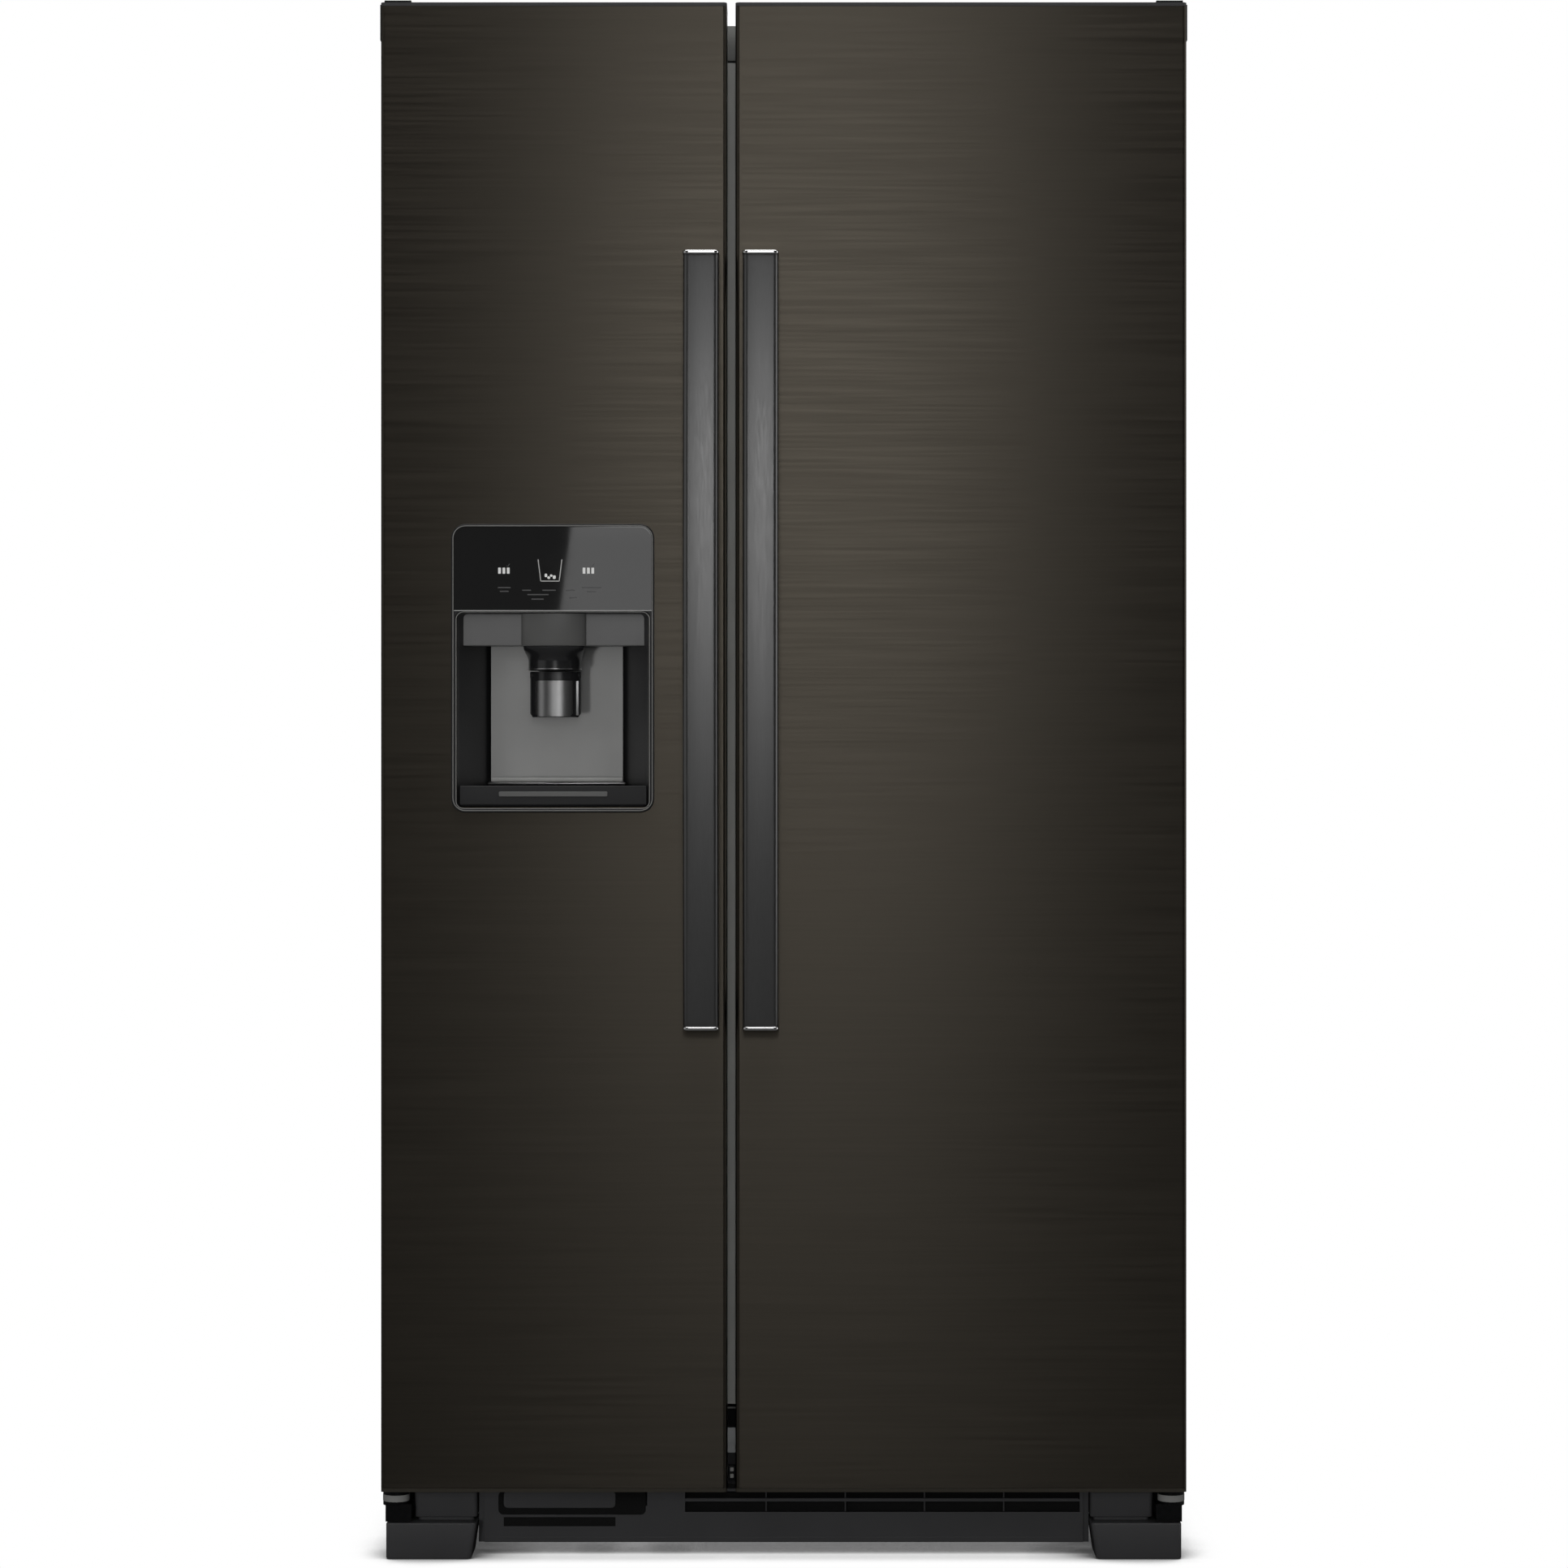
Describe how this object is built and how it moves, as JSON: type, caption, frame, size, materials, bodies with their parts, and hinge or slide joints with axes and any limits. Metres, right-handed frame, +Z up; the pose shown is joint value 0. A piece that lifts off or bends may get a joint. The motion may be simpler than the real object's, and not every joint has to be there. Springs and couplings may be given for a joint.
{
  "type": "side by side refrigerator",
  "caption": "Side by side refrigerator: narrow freezer door with ice and water dispenser, wider fridge door, bowed vertical handles, shelves, drawers and machine space.",
  "frame": {"origin": "on the floor, at the middle of the whole object's width and depth, handles included", "axes": "+Z up, front towards -Y, +X to the viewer's right"},
  "size_m": [0.9118, 0.85, 1.7677],
  "materials": {
    "black_stainless": "satin",
    "handle_metal": "satin",
    "black_plastic": "satin",
    "gloss_black": "gloss",
    "grey_plastic": "satin",
    "silver_plastic": "satin",
    "painted_steel": "satin",
    "galvanised_steel": "satin",
    "hinge_steel": "satin",
    "foam": "matte",
    "white_liner": "satin",
    "clear_plastic": "gloss",
    "shelf_glass": "gloss",
    "gasket_rubber": "matte",
    "white_plastic": "satin",
    "compressor_black": "satin",
    "aluminium_fins": "satin",
    "roller_plastic": "satin"
  },
  "bodies": {
    "cabinet": {"freezer_liner": "white_liner", "fridge_liner": "white_liner", "foot_cover_left": "black_plastic", "lower_hinge_left": "hinge_steel", "upper_hinge_left": "hinge_steel", "hinge_cover_left": "black_plastic", "foot_cover_right": "black_plastic", "lower_hinge_right": "hinge_steel", "upper_hinge_right": "hinge_steel", "hinge_cover_right": "black_plastic", "cabinet_shell": "painted_steel", "back_panel": "galvanised_steel", "cabinet_foam": "foam", "mullion_cover": "painted_steel", "base_pan": "galvanised_steel", "machine_cover": "painted_steel", "compressor": "compressor_black", "condenser": "aluminium_fins", "fan_motor": "galvanised_steel", "base_grille": "black_plastic", "fridge_shelf_upper": "shelf_glass", "fridge_shelf_lower": "shelf_glass", "crisper_cover": "shelf_glass", "freezer_shelf": "shelf_glass", "ice_maker": "white_plastic", "ice_bucket": "white_plastic"},
    "freezer_door": {"freezer_door_skin": "black_stainless", "freezer_door_top_cap": "black_plastic", "freezer_door_bottom_cap": "black_plastic", "freezer_door_foam": "foam", "freezer_door_liner": "white_liner", "freezer_door_gasket": "gasket_rubber", "freezer_handle": "handle_metal", "dispenser_housing": "black_plastic", "control_panel": "gloss_black", "ice_chute": "grey_plastic", "freezer_bin_upper": "clear_plastic", "freezer_bin_lower": "clear_plastic"},
    "fridge_door": {"fridge_door_skin": "black_stainless", "fridge_door_top_cap": "black_plastic", "fridge_door_bottom_cap": "black_plastic", "fridge_door_foam": "foam", "fridge_door_liner": "white_liner", "fridge_door_gasket": "gasket_rubber", "fridge_handle": "handle_metal", "dairy_shelf": "clear_plastic", "fridge_bin_upper": "clear_plastic", "fridge_bin_lower": "clear_plastic"},
    "dispenser_paddle": {"dispenser_paddle": "silver_plastic"},
    "drip_tray": {"drip_tray": "black_plastic"},
    "dairy_cover": {"dairy_cover": "clear_plastic"},
    "filter_cover": {"filter_cover": "black_plastic"},
    "water_filter": {"water_filter": "black_plastic"},
    "levelling_foot_left": {"levelling_foot_left": "hinge_steel"},
    "levelling_foot_right": {"levelling_foot_right": "hinge_steel"},
    "rear_roller_left": {"rear_roller_left": "roller_plastic"},
    "rear_roller_right": {"rear_roller_right": "roller_plastic"},
    "condenser_fan": {"condenser_fan": "black_plastic"},
    "crisper_drawer": {"crisper_drawer": "clear_plastic"},
    "freezer_basket": {"freezer_basket": "clear_plastic"}
  },
  "joints": [
    {"name": "freezer_door_hinge", "type": "hinge", "parent": "cabinet", "child": "freezer_door", "pos_m": [-0.4385, -0.346, 0.9], "axis": [0, 0, -1], "range_deg": [0, 125]},
    {"name": "fridge_door_hinge", "type": "hinge", "parent": "cabinet", "child": "fridge_door", "pos_m": [0.4385, -0.346, 0.9], "axis": [0, 0, 1], "range_deg": [0, 125]},
    {"name": "dispenser_paddle_hinge", "type": "hinge", "parent": "freezer_door", "child": "dispenser_paddle", "pos_m": [-0.2601, -0.318, 0.999], "axis": [1, 0, 0], "range_deg": [0, 12], "stiffness_Nm_per_rad": 0.2},
    {"name": "drip_tray_slide", "type": "slide", "parent": "freezer_door", "child": "drip_tray", "axis": [0, -1, 0], "range_m": [0, 0.06]},
    {"name": "dairy_cover_hinge", "type": "hinge", "parent": "fridge_door", "child": "dairy_cover", "pos_m": [0.0038, -0.298, 1.6125], "axis": [1, 0, 0], "range_deg": [0, 70]},
    {"name": "filter_cover_hinge", "type": "hinge", "parent": "cabinet", "child": "filter_cover", "pos_m": [-0.2545, -0.3338, 0.0574], "axis": [1, 0, 0], "range_deg": [0, 90]},
    {"name": "water_filter_turn", "type": "hinge", "parent": "cabinet", "child": "water_filter", "pos_m": [-0.1715, -0.3314, 0.0605], "axis": [0, 1, 0], "range_deg": [0, 90]},
    {"name": "levelling_foot_left_screw", "type": "slide", "parent": "cabinet", "child": "levelling_foot_left", "axis": [0, 0, -1], "range_m": [0, 0.012]},
    {"name": "levelling_foot_right_screw", "type": "slide", "parent": "cabinet", "child": "levelling_foot_right", "axis": [0, 0, -1], "range_m": [0, 0.012]},
    {"name": "rear_roller_left_axle", "type": "hinge", "parent": "cabinet", "child": "rear_roller_left", "pos_m": [-0.3995, 0.365, 0.02], "axis": [1, 0, 0], "continuous": true},
    {"name": "rear_roller_right_axle", "type": "hinge", "parent": "cabinet", "child": "rear_roller_right", "pos_m": [0.3995, 0.365, 0.02], "axis": [1, 0, 0], "continuous": true},
    {"name": "condenser_fan_spin", "type": "hinge", "parent": "cabinet", "child": "condenser_fan", "pos_m": [0.045, 0.31, 0.14], "axis": [1, 0, 0], "continuous": true},
    {"name": "crisper_drawer_slide", "type": "slide", "parent": "cabinet", "child": "crisper_drawer", "axis": [0, -1, 0], "range_m": [0, 0.13]},
    {"name": "freezer_basket_slide", "type": "slide", "parent": "cabinet", "child": "freezer_basket", "axis": [0, -1, 0], "range_m": [0, 0.13]}
  ]
}
